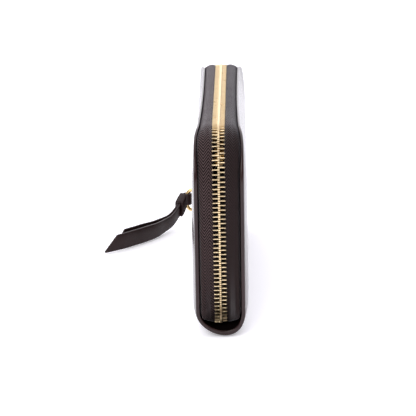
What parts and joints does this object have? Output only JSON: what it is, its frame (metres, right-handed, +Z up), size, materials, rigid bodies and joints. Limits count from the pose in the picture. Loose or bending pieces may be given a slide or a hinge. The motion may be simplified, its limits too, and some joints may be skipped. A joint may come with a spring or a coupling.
{
  "type": "zip around wallet",
  "caption": "Long dark leather zip-around wallet standing on its rounded spine, with metal zip, ring and folded leather pull, card leaves, gussets and a zipped coin pocket",
  "frame": {"origin": "centre of the flat under the spine, which the wallet stands on", "axes": "+X through the thickness towards the half that opens, +Y along the length towards the end with the slider, +Z up from the spine to the zipped top"},
  "size_m": [0.084, 0.2008, 0.1051],
  "materials": {
    "cover_leather": "fine-grained dark brown-black leather, semi-gloss",
    "strap_leather": "smooth dark leather, semi-gloss, painted edges",
    "pocket_leather": "smooth thin dark leather",
    "lining_leather": "smooth dark leather",
    "lining_fabric": "fine dark woven lining",
    "board": "grey-brown stiffener board",
    "zip_tape": "dark herringbone-woven tape",
    "zip_brass": "polished pale brass",
    "gold_metal": "polished gold-tone metal"
  },
  "bodies": {
    "back_half": {"back_cover": "cover_leather", "spine_lining": "lining_fabric", "back_board": "board", "back_lining": "lining_leather", "back_card_leaf_1": "pocket_leather", "back_card_leaf_2": "pocket_leather", "back_card_leaf_3": "pocket_leather", "zip_tape_back": "zip_tape", "zip_teeth_back": "zip_brass", "zip_start_stop": "zip_brass", "zip_end_stop": "zip_brass", "gusset_near": "lining_fabric", "gusset_far": "lining_fabric"},
    "front_half": {"front_cover": "cover_leather", "front_board": "board", "front_lining": "lining_leather", "front_card_leaf_1": "pocket_leather", "front_card_leaf_2": "pocket_leather", "front_card_leaf_3": "pocket_leather", "zip_tape_front": "zip_tape", "zip_teeth_front": "zip_brass"},
    "center_pocket": {"coin_pocket": "pocket_leather", "coin_tape_back": "zip_tape", "coin_tape_front": "zip_tape", "coin_coil_back": "zip_brass", "coin_coil_front": "zip_brass", "coin_stop_near": "zip_brass", "coin_stop_far": "zip_brass"},
    "coin_slider": {"coin_slider": "gold_metal"},
    "coin_pull": {"coin_pull_tab": "gold_metal"},
    "zip_slider": {"slider_inner_plate": "gold_metal", "slider_outer_plate": "gold_metal"},
    "pull_ring": {"pull_ring": "gold_metal"},
    "pull_strap": {"pull_strap": "strap_leather", "strap_keeper": "strap_leather"}
  },
  "joints": [
    {"name": "fold", "type": "hinge", "parent": "back_half", "child": "front_half", "pos_m": [0.0099, 0, 0.0035], "axis": [0, 1, 0], "range_deg": [0, 60], "deforming": ["gusset_near", "gusset_far"]},
    {"name": "pocket_follow", "type": "hinge", "parent": "back_half", "child": "center_pocket", "pos_m": [0, 0, 0.004], "axis": [0, 1, 0], "range_deg": [0, 30]},
    {"name": "coin_slide", "type": "slide", "parent": "center_pocket", "child": "coin_slider", "axis": [0, 1, 0], "range_m": [0, 0.132]},
    {"name": "coin_tab_hinge", "type": "hinge", "parent": "coin_slider", "child": "coin_pull", "pos_m": [0, -0.0654, 0.0878], "axis": [1, 0, 0], "range_deg": [0, 90]},
    {"name": "zip_slide", "type": "slide", "parent": "back_half", "child": "zip_slider", "axis": [0, 0.0198, 0.9998], "range_m": [0, 0.048]},
    {"name": "ring_swing", "type": "hinge", "parent": "zip_slider", "child": "pull_ring", "pos_m": [0, 0.09997, 0.023], "axis": [0, 0, 1], "range_deg": [-14, 4]},
    {"name": "strap_swing", "type": "hinge", "parent": "pull_ring", "child": "pull_strap", "pos_m": [-0.0224, 0.09997, 0.0168], "axis": [0, 0, 1], "range_deg": [-100, 12]}
  ],
  "couplings": [
    {"joint": "pocket_follow", "follows": "fold", "ratio": 0.5}
  ]
}
